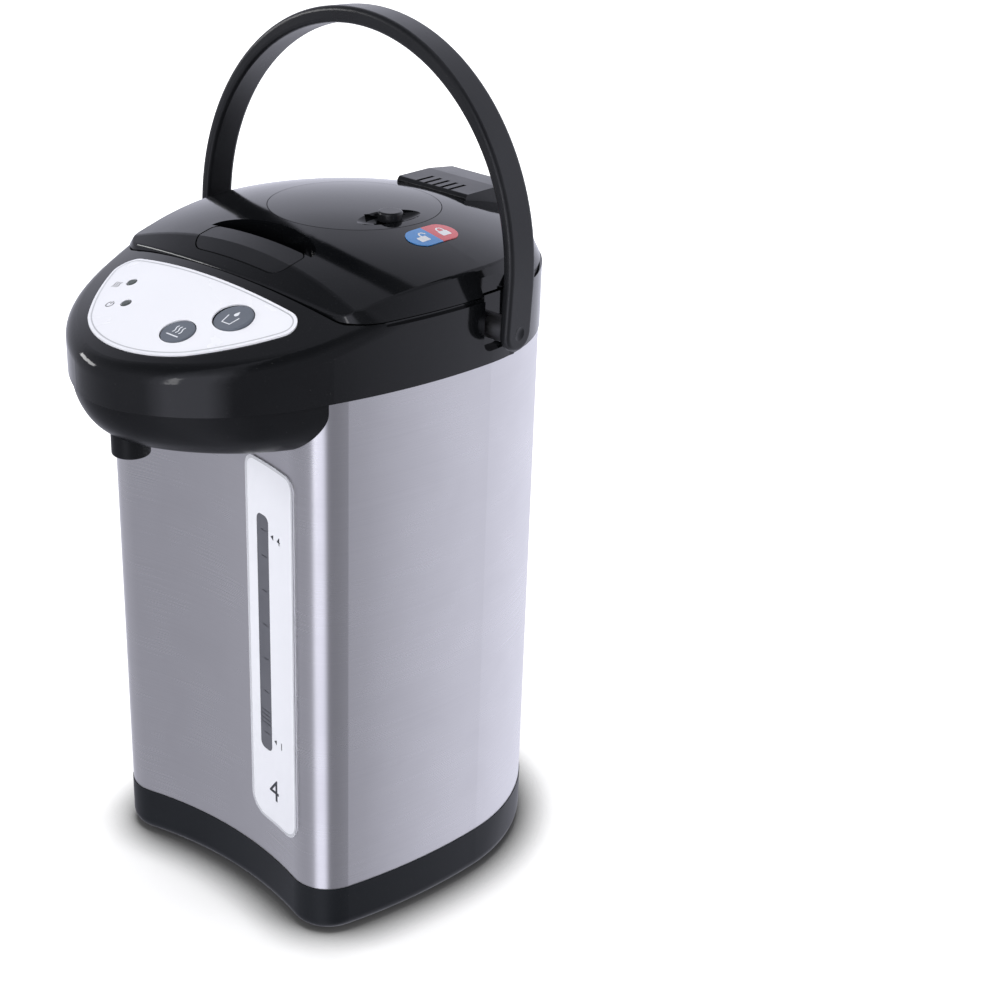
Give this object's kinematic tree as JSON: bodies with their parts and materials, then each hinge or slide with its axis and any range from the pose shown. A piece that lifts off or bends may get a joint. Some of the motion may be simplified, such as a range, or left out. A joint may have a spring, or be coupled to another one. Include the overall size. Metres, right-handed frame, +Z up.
{
  "type": "electric thermo pot",
  "caption": "Tall brushed steel electric water boiler with a black spouted top, sloped control panel, hinged lid with a press pump, level window and arched handle.",
  "frame": {"origin": "on the flat underside of the bottom cover, on the axis of the round inner pot", "axes": "+Z up; the beak with the nozzle points along -Y, the hinge and the mains inlet are at +Y; +X is on the right seen from the front"},
  "size_m": [0.226, 0.2711, 0.4622],
  "materials": {
    "black_satin": "satin",
    "black_matte": "matte",
    "pad_rubber": "matte",
    "screw_steel": "satin",
    "zinc_steel": "satin",
    "white_nylon": "satin",
    "hose_silicone": "satin",
    "board_green": "satin",
    "casing_steel": "brushed",
    "strip_white": "gloss",
    "window_clear": "gloss",
    "pot_steel": "satin",
    "heater_mica": "matte",
    "felt": "matte",
    "fuse_white": "matte",
    "tube_glass": "clear",
    "black_gloss": "gloss",
    "black_tray": "gloss",
    "panel_white": "gloss",
    "button_slate": "satin",
    "lamp_green": "gloss",
    "lid_gloss": "gloss",
    "drum_milky": "gloss",
    "seal_silicone": "satin",
    "knob_black": "satin",
    "bellows_rubber": "satin",
    "spring_steel": "polished",
    "label_blue": "gloss",
    "label_red": "gloss",
    "handle_black": "satin"
  },
  "bodies": {
    "pot": {"base_skirt": "black_satin", "bottom_cover": "black_matte", "foot_pads": "pad_rubber", "cover_screws": "screw_steel", "pump_mount": "pad_rubber", "pump_motor": "zinc_steel", "pump_housing": "white_nylon", "intake_hose": "hose_silicone", "outlet_hose": "hose_silicone", "power_board": "board_green", "power_inlet": "black_matte", "outer_casing": "casing_steel", "level_strip": "strip_white", "level_window": "window_clear", "inner_pot": "pot_steel", "boil_heater": "heater_mica", "warm_heater": "heater_mica", "insulation": "felt", "thermostats": "zinc_steel", "thermal_fuse": "fuse_white", "level_tube": "tube_glass", "tube_couplings": "hose_silicone", "spout_hose": "hose_silicone", "spout_valve": "white_nylon", "nozzle": "black_satin", "upper_housing": "black_gloss", "beak_tray": "black_tray", "tray_screws": "screw_steel", "control_panel": "panel_white", "lamp_lenses": "lamp_green", "control_board": "board_green", "tact_switches": "black_matte", "handle_pins": "black_satin", "hinge_bracket": "black_matte", "hinge_pin": "screw_steel"},
    "lid": {"lid_shell": "lid_gloss", "steam_vent_cover": "lid_gloss", "inner_lid_drum": "drum_milky", "inner_lid_plate": "pot_steel", "lid_gasket": "seal_silicone", "label_unlocked": "label_blue", "label_locked": "label_red", "bellows": "bellows_rubber", "bellows_spring": "spring_steel"},
    "latch": {"lid_latch": "lid_gloss"},
    "press": {"press_plate": "lid_gloss"},
    "lock": {"lock_lever": "knob_black"},
    "handle": {"handle_bail": "handle_black"},
    "dispense": {"dispense_button": "button_slate"},
    "reboil": {"reboil_button": "button_slate"},
    "impeller": {"pump_impeller": "white_nylon"}
  },
  "joints": [
    {"name": "lid_open", "type": "hinge", "parent": "pot", "child": "lid", "pos_m": [0, 0.099, 0.3415], "axis": [-1, 0, 0], "range_deg": [0, 92]},
    {"name": "handle_swing", "type": "hinge", "parent": "pot", "child": "handle", "pos_m": [0, 0.003, 0.322], "axis": [-1, 0, 0], "range_deg": [0, 115]},
    {"name": "press", "type": "slide", "parent": "lid", "child": "press", "axis": [0, 0, -1], "range_m": [0, 0.02], "stiffness_N_per_m": 500, "springref_m": -0.012, "deforming": ["bellows", "bellows_spring"]},
    {"name": "lock_turn", "type": "hinge", "parent": "press", "child": "lock", "pos_m": [0, 0.002, 0.3526], "axis": [0, 0, 1], "range_deg": [-11, 11]},
    {"name": "latch_pull", "type": "hinge", "parent": "lid", "child": "latch", "pos_m": [0, -0.0785, 0.3485], "axis": [1, 0, 0], "range_deg": [0, 10], "stiffness_Nm_per_rad": 0.2, "springref_deg": -17.19},
    {"name": "dispense_press", "type": "slide", "parent": "pot", "child": "dispense", "axis": [0, 0.3206, -0.9472], "range_m": [0, 0.0012], "stiffness_N_per_m": 800, "springref_m": -0.001},
    {"name": "reboil_press", "type": "slide", "parent": "pot", "child": "reboil", "axis": [0, 0.3206, -0.9472], "range_m": [0, 0.0012], "stiffness_N_per_m": 800, "springref_m": -0.001},
    {"name": "impeller_spin", "type": "hinge", "parent": "pot", "child": "impeller", "pos_m": [0.024, -0.038, 0.03], "axis": [0, 0, 1], "continuous": true}
  ],
  "couplings": [
    {"joint": "handle_swing", "follows": "lid_open", "ratio": 1.25}
  ]
}
